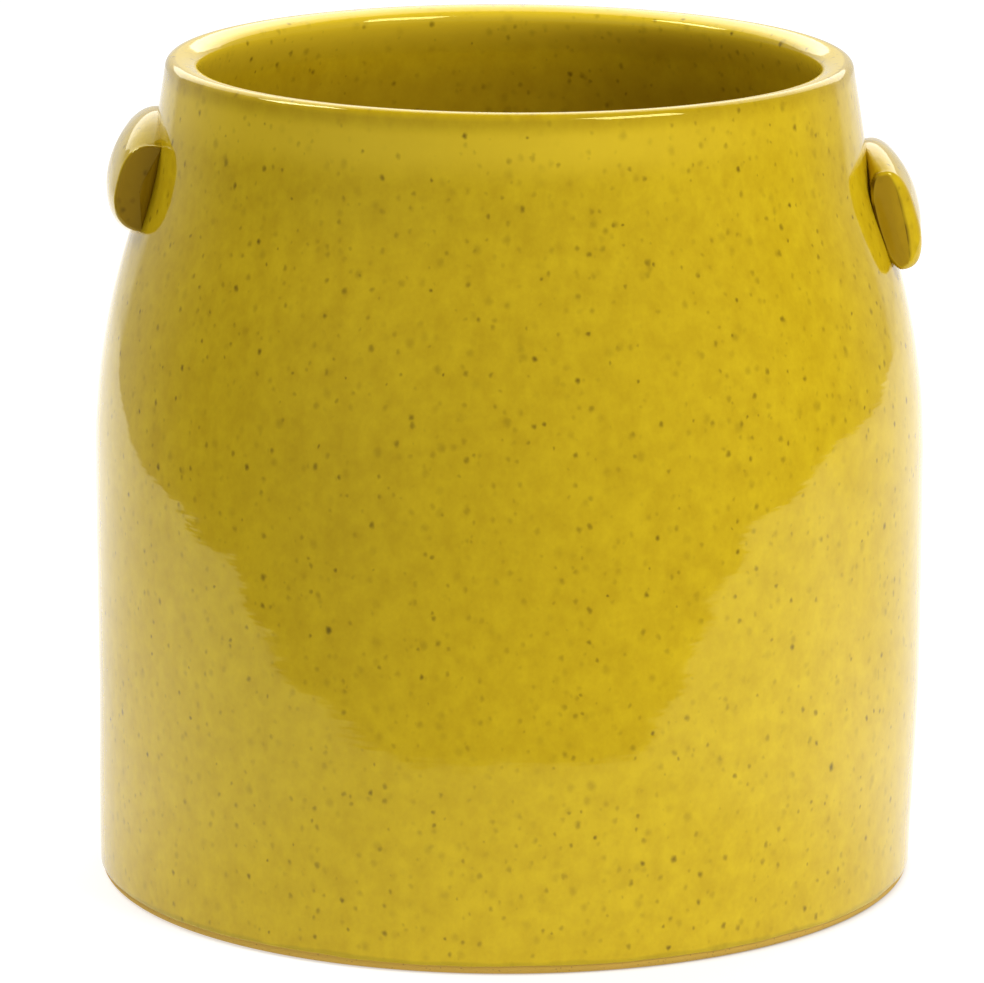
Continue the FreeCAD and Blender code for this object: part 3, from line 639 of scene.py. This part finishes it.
def lug_mesh(name, lug, pot, turned):
    """The lug's closed mesh on the wall: lumps added, bent, tilted to the wall and turned to its side."""
    rings = lug_points(lug)
    curves = pot_curves(pot)
    seat_height = pot.height - lug.drop
    wall_lean = math.asin((curves["neck"][1] - seat_height) / pot.neck_round)
    seat = curves["neck"][0] - pot.neck_round * math.cos(wall_lean)
    lean = wall_lean - lug.tilt
    side = -1 if turned else 1
    lump_place = Vector((side * LUMP_PLACE[0], *LUMP_PLACE[1:]))
    points = []
    for ring in rings:
        middle = ring.mean(axis=0)
        for out, along, up in ring:
            spot = Vector((out, along, up)) / LUMP_SIZE + lump_place
            lump = lug.unevenness * noise.noise(spot)
            away = Vector((out - middle[0], up - middle[2])).normalized()
            out += lump * away.x
            up += lump * away.y
            swing = along / lug.bend
            x = (lug.bend + out) * math.cos(swing) - lug.bend
            y = (lug.bend + out) * math.sin(swing)
            radius = seat + x * math.cos(lean) - up * math.sin(lean)
            height = seat_height + x * math.sin(lean) + up * math.cos(lean)
            points.append((side * radius, side * y, height))
    sides = LUG_SIDES
    faces = []
    for ring in range(len(rings) - 1):
        for step in range(sides):
            after = (step + 1) % sides
            faces.append((
                ring * sides + step, ring * sides + after,
                (ring + 1) * sides + after, (ring + 1) * sides + step))
    faces.append(tuple(range(sides)))
    faces.append(tuple(range((len(rings) - 1) * sides, len(rings) * sides)))
    mesh = bpy.data.meshes.new(name)
    mesh.from_pydata(points, [], faces)
    shell = bmesh.new()
    shell.from_mesh(mesh)
    bmesh.ops.recalc_face_normals(shell, faces=shell.faces)
    for facet in shell.faces:
        facet.smooth = True
    shell.to_mesh(mesh)
    shell.free()
    mesh.set_sharp_from_angle(angle=SHARP)

    # The glaze runs thin along the outer crease of the cut ends, and painted shade darkens the crevice
    # beside the wall
    turn = np.linspace(0, 2 * math.pi, sides, endpoint=False)
    outward = np.clip(np.cos(turn + lug.outer_skew), 0, 1)
    # Painted shade in the crevice, over the whole rounding on the side of the wall
    inward = np.clip(-CREVICE_SPREAD * np.cos(turn), 0, 1)
    thin = np.zeros((len(rings), sides))
    for crease, step in ((len(CAP_SHARES), 1), (len(rings) - 1 - len(CAP_SHARES), -1)):
        for depth in range(ROUND_STEPS):
            thin[crease + step * depth] = inward * lug.glaze_break_and_crevice_shade
        thin[crease] += outward * lug.glaze_break_and_crevice_shade
    mesh.attributes.new("thin_glaze", "FLOAT", "POINT").data.foreach_set("value", thin.ravel())
    # Painted shade on the cut ends and, by its reach, over part of their rounding
    cut = np.zeros((len(rings), sides))
    reach = len(CAP_SHARES) + lug.cut_shade_reach
    cut[:reach] = lug.cut_painted_shade
    cut[-reach:] = lug.cut_painted_shade
    mesh.attributes.new("cut_end", "FLOAT", "POINT").data.foreach_set("value", cut.ravel())
    return mesh


# Materials


GLAZE_NAME = "mustard_glaze_on_stoneware"
CLAY_NAME = "bare_buff_stoneware"

# Melt: width of its clouds, how far they ran down, and the noise that counts as thin and as thick
MELT_SIZE = 7 * MM
MELT_RUN = (1, 1, 0.8)
MELT_THIN, MELT_THICK = 0.3, 0.7

# The painted light on the collar fades out between these places towards the right, to this share
COLLAR_LIGHT_FULL, COLLAR_LIGHT_FADED, COLLAR_LIGHT_SHARE = 20 * MM, 90 * MM, 0.25

# Specks: ragged edges, how far the melt drew them down, and the least size and strength of a speck
RAGGED_SIZE = 2.2 * MM
RAGGED_REACH = 1.2 * MM
SPECK_RUN = (1, 1, 0.85)
LEAST_SIZE, LEAST_STRENGTH = 0.45, 0.25
RARITY = 2.0

# Olive roll at the glaze's lower edge: length and rise of its waves, its heights and its strength
POOL_WAVE_SIZE = 14 * MM
POOL_WAVE = 3 * MM
POOL_LOW, POOL_HIGH = 2.2 * MM, 3.4 * MM
POOL_STRENGTH = 0.35
BREAK_NONE, BREAK_FULL = 0.35, 0.5

# Gloss, and the relief of the melt as width, squeeze and depth: ripple, throwing lines and orange peel
DULL_SIZE = 6 * MM
GLOSS_LOW, GLOSS_HIGH = 0.03, 0.09
RELIEF = (
    (9 * MM, (1, 1, 1), 0.05 * MM),
    (14 * MM, (1, 1, 7), 0.018 * MM),
    (2.5 * MM, (1, 1, 1), 0.007 * MM),
)
GLAZE_IOR = 1.54
GLAZE_TINT = (1.0, 0.98, 0.35, 1.0)

# Bare clay: width of its flashed patches and of its sand, depth of the sand, strength of the grains
FLASH_SIZE = 25 * MM
FLASH_NONE, FLASH_FULL = 0.35, 0.65
SAND_SIZE = 0.8 * MM
SAND_DEPTH = 0.12 * MM
CLAY_SMOOTH, CLAY_ROUGH = 0.7, 0.95
GRAIN_STRENGTH = 0.7
CLAY_IOR = 1.5

# Floor paper: its pulp, and where its glow sets in and is full beside, in front of, behind and under the pot
PULP_SIZE = 40 * MM
PULP_DARK = 0.97
PAPER_ROUGH = 0.9
BESIDE_NEAR, BESIDE_FAR = 0.14, 0.26
FRONT_NONE, FRONT_FULL = 0.15, -0.05
BEHIND_NONE, BEHIND_FULL, BEHIND_GLOW = 0.15, 0.6, 0.17
# The glow ends close to the pot, which paints its contact shadow
CONTACT_DARK, CONTACT_LIT = 0.124, 0.133


def new_finish(name):
    """An empty node material, with its tree and the object coordinates that its patterns follow."""
    finish = bpy.data.materials.new(name)
    finish.use_nodes = True
    finish.node_tree.nodes.clear()
    place = add_node(finish.node_tree, "ShaderNodeTexCoord")["Object"]
    return finish, finish.node_tree, place


def mustard_glaze(look):
    """Mustard glaze on stoneware, poured and fired glossy.

    The melt settles almost level, so it mirrors the studio with a faint ripple and a finer orange peel.
    Iron from the clay bleeds through as soft brown specks, and the glaze pools olive at its lower edge.
    """
    finish, tree, place = new_finish(GLAZE_NAME)

    # Thicker and thinner melt, in clouds that ran down a little
    run = add_node(tree, "ShaderNodeMapping", {"Vector": place, "Scale": MELT_RUN})[0]
    cloud = add_node(tree, "ShaderNodeTexNoise", {
        "Vector": run, "Scale": 1 / MELT_SIZE, "Detail": 4.0, "Roughness": 0.7})[0]
    depth = add_node(tree, "ShaderNodeMapRange", {
        "Value": cloud, "From Min": MELT_THIN, "From Max": MELT_THICK})[0]
    coats = [(depth, look.deep)]

    # Painted light on the collar and at the top of the inside, painted shade along the lip's outer edge, and
    # deeper inside browner glaze with painted shade.
    # Each band has a place, a colour, and ramps of two heights in millimetres and the shares there.
    at = add_node(tree, "ShaderNodeSeparateXYZ", {0: place})
    height = at["Z"]
    inside = add_node(tree, "ShaderNodeAttribute", attribute_name="inside")["Fac"]
    outside = add_node(tree, "ShaderNodeMath", {0: 1.0, 1: inside}, operation="SUBTRACT")[0]
    collar_light_fade = add_node(tree, "ShaderNodeMapRange", {
        "Value": at["X"], "From Min": COLLAR_LIGHT_FULL, "From Max": COLLAR_LIGHT_FADED,
        "To Min": 1.0, "To Max": COLLAR_LIGHT_SHARE}, interpolation_type="SMOOTHSTEP")[0]
    painted_collar_light = add_node(tree, "ShaderNodeMath", {0: outside, 1: collar_light_fade}, operation="MULTIPLY")[0]
    bands = (
        # Painted light: a lighter band on the collar, fading towards the right
        (painted_collar_light, look.painted_light_tint, (242, 254, 0.0, 0.75), (257, 263, 1.0, 0.0)),
        # Painted shade: a dark reflection along the lip's outer edge
        (outside, look.brown, (258, 263.2, 0.0, 0.2), (264.2, 265.2, 1.0, 0.0)),
        # Deeper inside: browner glaze together with painted shade
        (inside, look.brown, (259, 236, 0.0, 0.44)),
        # Painted light: lighter at the top of the inside, over the roll of the lip
        (inside, look.painted_light_tint, (248, 259, 0.0, 0.9)),
    )
    for where, tint, *ramps in bands:
        for low, high, start, stop in ramps:
            share = add_node(tree, "ShaderNodeMapRange", {
                "Value": height, "From Min": low * MM, "From Max": high * MM,
                "To Min": start, "To Max": stop}, interpolation_type="SMOOTHSTEP")[0]
            where = add_node(tree, "ShaderNodeMath", {0: where, 1: share}, operation="MULTIPLY")[0]
        coats.append((where, tint))

    # Painted shade on the cut ends, which the pot's wall keeps from the light
    end = add_node(tree, "ShaderNodeAttribute", attribute_name="cut_end")["Fac"]
    coats.append((end, look.cut))

    # Specks drawn out a little downwards by the melt: clouds, small specks and a few iron spots.
    # Each layer has a spacing, a radius, a colour, a strength and the share of its radius that is full.
    layers = (
        (look.cloud_spacing, look.cloud_radius, look.speck, 0.3, 0.1),
        (look.speck_spacing, look.speck_radius, look.speck, 0.85, 0.05),
        (look.spot_spacing, look.spot_radius, look.iron, 0.9, 0.1),
    )
    jitter = add_node(tree, "ShaderNodeTexNoise", {
        "Vector": place, "Scale": 1 / RAGGED_SIZE, "Detail": 1.0})["Color"]
    jitter = add_node(tree, "ShaderNodeVectorMath", {
        0: jitter, 1: (0.5, 0.5, 0.5)}, operation="SUBTRACT")[0]
    jitter = add_node(tree, "ShaderNodeVectorMath", {
        0: jitter, "Scale": RAGGED_REACH}, operation="SCALE")[0]
    ragged = add_node(tree, "ShaderNodeVectorMath", {0: place, 1: jitter}, operation="ADD")[0]
    drawn = add_node(tree, "ShaderNodeMapping", {"Vector": ragged, "Scale": SPECK_RUN})[0]
    for spacing, radius, tint, strength, core in layers:
        largest = radius / spacing
        cells = add_node(tree, "ShaderNodeTexVoronoi", {"Vector": drawn, "Scale": 1 / spacing})
        kind = add_node(tree, "ShaderNodeSeparateColor", {0: cells["Color"]})
        reach = add_node(tree, "ShaderNodeMapRange", {
            "Value": kind["Red"], "To Min": LEAST_SIZE * largest, "To Max": largest})[0]
        heart = add_node(tree, "ShaderNodeMath", {0: reach, 1: core}, operation="MULTIPLY")[0]
        rarity = add_node(tree, "ShaderNodeMath", {0: kind["Green"], 1: RARITY}, operation="POWER")[0]
        weight = add_node(tree, "ShaderNodeMapRange", {
            "Value": rarity, "To Min": LEAST_STRENGTH * strength, "To Max": strength})[0]
        speck = add_node(tree, "ShaderNodeMapRange", {
            "Value": cells["Distance"], "From Min": heart, "From Max": reach,
            "To Min": weight, "To Max": 0.0}, interpolation_type="SMOOTHSTEP")[0]
        coats.append((speck, tint))

    # Olive roll where the glaze stopped above the foot
    wave = add_node(tree, "ShaderNodeTexNoise", {
        "Vector": place, "Scale": 1 / POOL_WAVE_SIZE, "Detail": 2.0})[0]
    edge = add_node(tree, "ShaderNodeMath", {
        0: wave, 1: -POOL_WAVE, 2: height}, operation="MULTIPLY_ADD")[0]
    pool = add_node(tree, "ShaderNodeMapRange", {
        "Value": edge, "From Min": POOL_LOW, "From Max": POOL_HIGH,
        "To Min": POOL_STRENGTH, "To Max": 0.0}, interpolation_type="SMOOTHSTEP")[0]
    coats.append((pool, look.pooled))

    # Brown where it breaks thin over the edge of the cut ends, and painted shade in the crevice beside the
    # wall
    thin = add_node(tree, "ShaderNodeAttribute", attribute_name="thin_glaze")["Fac"]
    uneven = add_node(tree, "ShaderNodeMapRange", {
        "Value": wave, "From Min": BREAK_NONE, "From Max": BREAK_FULL})[0]
    broken_and_shaded = add_node(tree, "ShaderNodeMath", {0: thin, 1: uneven}, operation="MULTIPLY")[0]
    coats.append((broken_and_shaded, look.speck))

    # Each of these colours laid over the ones before it
    colour = (*look.mustard, 1)
    for share, tint in coats:
        colour = add_node(tree, "ShaderNodeMix", {
            0: share, MIX_A: colour, MIX_B: (*tint, 1)}, data_type="RGBA")[MIX_RESULT]

    # Gloss that is a little duller in patches, over a relief of three widths
    dull = add_node(tree, "ShaderNodeTexNoise", {"Vector": place, "Scale": 1 / DULL_SIZE, "Detail": 2.0})[0]
    gloss = add_node(tree, "ShaderNodeMapRange", {
        "Value": dull, "To Min": GLOSS_LOW, "To Max": GLOSS_HIGH})[0]
    relief = {}
    for width, squeeze, deep in RELIEF:
        pressed = add_node(tree, "ShaderNodeMapping", {"Vector": place, "Scale": squeeze})[0]
        swell = add_node(tree, "ShaderNodeTexNoise", {
            "Vector": pressed, "Scale": 1 / width, "Detail": 1.0})[0]
        bump = add_node(tree, "ShaderNodeBump", {"Height": swell, "Distance": deep, **relief})[0]
        relief = {"Normal": bump}
    shader = add_node(tree, "ShaderNodeBsdfPrincipled", {
        "Base Color": colour, "Roughness": gloss, "IOR": GLAZE_IOR, "Specular Tint": GLAZE_TINT, **relief})
    add_node(tree, "ShaderNodeOutputMaterial", {"Surface": shader[0]})
    return finish


def bare_stoneware(look):
    """Buff stoneware, turned on the wheel and fired bare.

    Turning drags the grog, so the clay is matt, grainy and flecked with dark grains,
    and the flame leaves warmer patches.
    """
    finish, tree, place = new_finish(CLAY_NAME)
    patch = add_node(tree, "ShaderNodeTexNoise", {
        "Vector": place, "Scale": 1 / FLASH_SIZE, "Detail": 3.0})[0]
    warm = add_node(tree, "ShaderNodeMapRange", {
        "Value": patch, "From Min": FLASH_NONE, "From Max": FLASH_FULL})[0]
    colour = add_node(tree, "ShaderNodeMix", {
        0: warm, MIX_A: (*look.body, 1), MIX_B: (*look.flash, 1)}, data_type="RGBA")[MIX_RESULT]
    cells = add_node(tree, "ShaderNodeTexVoronoi", {"Vector": place, "Scale": 1 / look.grog_spacing})
    reach = look.grog_radius / look.grog_spacing
    grain = add_node(tree, "ShaderNodeMapRange", {
        "Value": cells["Distance"], "From Min": reach / 2, "From Max": reach,
        "To Min": GRAIN_STRENGTH, "To Max": 0.0})[0]
    colour = add_node(tree, "ShaderNodeMix", {
        0: grain, MIX_A: colour, MIX_B: (*look.grog, 1)}, data_type="RGBA")[MIX_RESULT]
    sand = add_node(tree, "ShaderNodeTexNoise", {"Vector": place, "Scale": 1 / SAND_SIZE, "Detail": 3.0})[0]
    rough = add_node(tree, "ShaderNodeMapRange", {
        "Value": sand, "To Min": CLAY_SMOOTH, "To Max": CLAY_ROUGH})[0]
    bump = add_node(tree, "ShaderNodeBump", {"Height": sand, "Distance": SAND_DEPTH})[0]
    shader = add_node(tree, "ShaderNodeBsdfPrincipled", {
        "Base Color": colour, "Roughness": rough, "Normal": bump, "IOR": CLAY_IOR})
    add_node(tree, "ShaderNodeOutputMaterial", {"Surface": shader[0]})
    return finish


def floor_paper(studio):
    """White seamless paper, matt with a faint pulp cloud, that glows with painted light.

    It glows a little, more so beside and behind the pot, and the glow ends where the pot stands on it, which
    paints its contact shadow.
    """
    finish, tree, place = new_finish("white_floor_paper")
    pulp = add_node(tree, "ShaderNodeTexNoise", {"Vector": place, "Scale": 1 / PULP_SIZE})[0]
    shade = add_node(tree, "ShaderNodeMapRange", {"Value": pulp, "To Min": PULP_DARK, "To Max": 1.0})[0]
    colour = add_node(tree, "ShaderNodeVectorMath", {
        0: tuple(studio.paper), "Scale": shade}, operation="SCALE")[0]
    at = add_node(tree, "ShaderNodeSeparateXYZ", {0: place})
    away = add_node(tree, "ShaderNodeVectorMath", {0: place}, operation="LENGTH")["Value"]
    ramps = (
        (at["X"], -BESIDE_NEAR, -BESIDE_FAR, studio.left_glow),
        (at["X"], BESIDE_NEAR, BESIDE_FAR, studio.right_glow),
        (at["Y"], FRONT_NONE, FRONT_FULL, 1.0),
        (away, CONTACT_DARK, CONTACT_LIT, studio.paper_glow),
        (at["Y"], BEHIND_NONE, BEHIND_FULL, BEHIND_GLOW),
    )
    left, right, in_front, clear, behind = [
        add_node(tree, "ShaderNodeMapRange", {
            "Value": distance, "From Min": none, "From Max": full, "To Max": brightness},
            interpolation_type="SMOOTHSTEP")[0]
        for distance, none, full, brightness in ramps]
    beside = add_node(tree, "ShaderNodeMath", {0: left, 1: right}, operation="ADD")[0]
    clear = add_node(tree, "ShaderNodeMath", {0: clear, 1: behind}, operation="ADD")[0]
    glow = add_node(tree, "ShaderNodeMath", {0: beside, 1: in_front, 2: clear}, operation="MULTIPLY_ADD")[0]
    shader = add_node(tree, "ShaderNodeBsdfPrincipled", {
        "Base Color": colour, "Roughness": PAPER_ROUGH, "Emission Color": (1, 1, 1, 1),
        "Emission Strength": glow})
    add_node(tree, "ShaderNodeOutputMaterial", {"Surface": shader[0]})
    return finish


def finish_named(name, maker, look):
    """A material by its name, made the first time that a piece asks for it."""
    return bpy.data.materials.get(name) or maker(look)


# Operators, one for each piece or group of like pieces


class FLOWERPOT_OT_glazed_body(bpy.types.Operator):
    """Throw the glazed body: outer face, collar, lip and inside"""

    bl_idname = "flower_pot.glazed_body"
    bl_label = "Throw Glazed Body"

    def execute(self, context):
        settings = context.scene.flower_pot
        glaze = finish_named(GLAZE_NAME, mustard_glaze, settings.glaze)
        wave = settings.marks.edge_wave
        body = throw("glazed_body", body_outline(settings.pot), glaze, settings, wave)
        attach(body, "mustard_glaze", "wall", "corner_coil", "outer_glaze", "inner_glaze")
        return {"FINISHED"}


class FLOWERPOT_OT_clay_foot(bpy.types.Operator):
    """Turn the bare clay foot with its ring and hollow"""

    bl_idname = "flower_pot.clay_foot"
    bl_label = "Turn Clay Foot"

    def execute(self, context):
        settings = context.scene.flower_pot
        clay = finish_named(CLAY_NAME, bare_stoneware, settings.clay)
        foot = throw("clay_foot", foot_outline(settings.pot), clay, settings)
        attach(foot, "stoneware", "base_slab")
        return {"FINISHED"}


class FLOWERPOT_OT_lug_handles(bpy.types.Operator):
    """Press the two lug handles onto the shoulder"""

    bl_idname = "flower_pot.lug_handles"
    bl_label = "Press Lug Handles"

    def execute(self, context):
        settings = context.scene.flower_pot
        glaze = finish_named(GLAZE_NAME, mustard_glaze, settings.glaze)
        for name, lug, turned in (
                ("left", settings.left_lug, True),
                ("right", settings.right_lug, False)):
            mesh = lug_mesh(name + "_handle", lug, settings.pot, turned)
            mesh.materials.append(glaze)
            handle = new_piece(name + "_handle", mesh)
            attach(handle, "mustard_glaze", name + "_lug", name + "_lug_coil", name + "_lug_glaze")
        return {"FINISHED"}


# Outline of the floor. Its uneven front edge shows as the edge of its reflection in the glaze.
FLOOR_CORNERS = (
    (-0.76, 0.2), (-0.58, -0.175), (-0.28, -0.3), (0, -0.367), (0.19, -0.322),
    (0.4, -0.36), (0.74, -0.29), (1.6, 0.2), (1.6, 2.6), (-1.6, 2.6))
FLOOR_SINK = 0.05 * MM
POT_MIDDLE = (0, 0, 0.15)
LIP_MIDDLE = (0, 0, 0.27)
SENSOR_WIDTH = 36.0

# Watts that give a square metre of area light a brightness of one
AREA_WATTS = 4

# Soft lights: name, place, aim, width, height and the setting that holds the brightness
SOFT_LIGHTS = (
    ("right_soft_box", (1.12, -1.01, 1.55), POT_MIDDLE, 0.95, 0.8, "key_light"),
    ("left_soft_box", (-0.9, 0.25, 1.4), POT_MIDDLE, 0.35, 0.5, "fill_light"),
    ("back_panel", (0, 1.0, 1.1), LIP_MIDDLE, 2.2, 1.3, "panel_light"),
)

# Bright sides of the room: direction, the cosines where it sets in and is full, and its setting
ROOM_SIDES = (
    ((0.25, -0.97, 0), -0.3, 0.85, "front_light"),
    ((0.05, 1, 0), 0.0, 0.8, "back_light"),
    ((0.05, 1, 0), 0.73, 0.8, "backdrop_light"),
    ((-1, 0, 0), 0.2, 0.9, "left_light"),
)


def soft_light(name, place, aim, width, height, brightness):
    """An area light that faces a point. Its power gives the wanted brightness over its own area."""
    lamp = bpy.data.lights.new(name, "AREA")
    lamp.shape = "RECTANGLE"
    lamp.size = width
    lamp.size_y = height
    lamp.energy = AREA_WATTS * width * height * brightness
    light = bpy.data.objects.new(name, lamp)
    bpy.context.scene.collection.objects.link(light)
    light.location = place
    light.rotation_euler = (Vector(aim) - Vector(place)).to_track_quat("-Z", "Y").to_euler()
    light.visible_camera = False


def studio_room(studio):
    """A room that is lit in front, behind and a little at the left, and is plain white to the camera."""
    world = bpy.data.worlds.new("studio_room")
    world.use_nodes = True
    tree = world.node_tree
    tree.nodes.clear()
    way = add_node(tree, "ShaderNodeTexCoord")["Generated"]
    strength = 0.0
    for side, dark, full, setting in ROOM_SIDES:
        facing = add_node(tree, "ShaderNodeVectorMath", {0: way, 1: side}, operation="DOT_PRODUCT")["Value"]
        lit = add_node(tree, "ShaderNodeMapRange", {
            "Value": facing, "From Min": dark, "From Max": full,
            "To Max": getattr(studio, setting)}, interpolation_type="SMOOTHSTEP")[0]
        strength = add_node(tree, "ShaderNodeMath", {0: strength, 1: lit}, operation="ADD")[0]
    seen = add_node(tree, "ShaderNodeLightPath")["Is Camera Ray"]
    strength = add_node(tree, "ShaderNodeMix", {0: seen, 2: strength, 3: 1.0}, data_type="FLOAT")[0]
    backdrop = add_node(tree, "ShaderNodeBackground", {"Color": (1, 1, 1, 1), "Strength": strength})
    add_node(tree, "ShaderNodeOutputWorld", {"Surface": backdrop[0]})
    return world


class FLOWERPOT_OT_studio(bpy.types.Operator):
    """Lay the floor and set the studio light and the camera"""

    bl_idname = "flower_pot.studio"
    bl_label = "Set Up Studio"

    def execute(self, context):
        scene = context.scene
        studio = scene.flower_pot.studio
        scene.view_settings.view_transform = "Standard"

        mesh = bpy.data.meshes.new("floor")
        corners = [(x, y, -FLOOR_SINK) for x, y in FLOOR_CORNERS]
        mesh.from_pydata(corners, [], [tuple(range(len(corners)))])
        mesh.materials.append(floor_paper(studio))
        new_piece("floor", mesh)

        for *light, setting in SOFT_LIGHTS:
            soft_light(*light, getattr(studio, setting))
        scene.world = studio_room(studio)

        lens = bpy.data.cameras.new("photo_camera")
        lens.lens = studio.focal_length
        lens.sensor_width = SENSOR_WIDTH
        camera = bpy.data.objects.new("photo_camera", lens)
        scene.collection.objects.link(camera)
        camera.location = studio.camera_place
        camera.rotation_euler = (QUARTER - studio.camera_pitch, 0, 0)
        scene.camera = camera
        return {"FINISHED"}


class FLOWERPOT_PT_sidebar(bpy.types.Panel):
    """Lists the flower pot's pieces in the sidebar"""

    bl_idname = "FLOWERPOT_PT_sidebar"
    bl_label = "Flower Pot"
    bl_space_type = "VIEW_3D"
    bl_region_type = "UI"
    bl_category = "Flower Pot"

    def draw(self, context):
        settings = context.scene.flower_pot
        for operator in OPERATORS:
            self.layout.operator(operator.bl_idname)
        for group in (
                settings.pot, settings.marks, settings.left_lug, settings.right_lug,
                settings.glaze, settings.clay, settings.studio):
            column = self.layout.column(align=True)
            for name in group.bl_rna.properties.keys():
                if name not in ("rna_type", "name"):
                    column.prop(group, name)


GROUPS = (PotSizes, ThrowingMarks, LugSizes, GlazeLook, ClayLook, StudioSettings, PotSettings)
OPERATORS = (
    FLOWERPOT_OT_glazed_body, FLOWERPOT_OT_clay_foot, FLOWERPOT_OT_lug_handles, FLOWERPOT_OT_studio)


def register():
    """Register the classes and the scene's settings."""
    for entry in (*GROUPS, *OPERATORS, FLOWERPOT_PT_sidebar):
        bpy.utils.register_class(entry)
    bpy.types.Scene.flower_pot = PointerProperty(type=PotSettings)


def unregister():
    """Take the settings and the classes away again."""
    del bpy.types.Scene.flower_pot
    for entry in reversed((*GROUPS, *OPERATORS, FLOWERPOT_PT_sidebar)):
        bpy.utils.unregister_class(entry)


def main():
    """Build every piece in order."""
    register()
    right_lug = bpy.context.scene.flower_pot.right_lug
    for name, value in RIGHT_LUG.items():
        setattr(right_lug, name, value)
    bpy.ops.flower_pot.glazed_body()
    bpy.ops.flower_pot.clay_foot()
    bpy.ops.flower_pot.lug_handles()
    bpy.ops.flower_pot.studio()


if __name__ == "__main__":
    main()
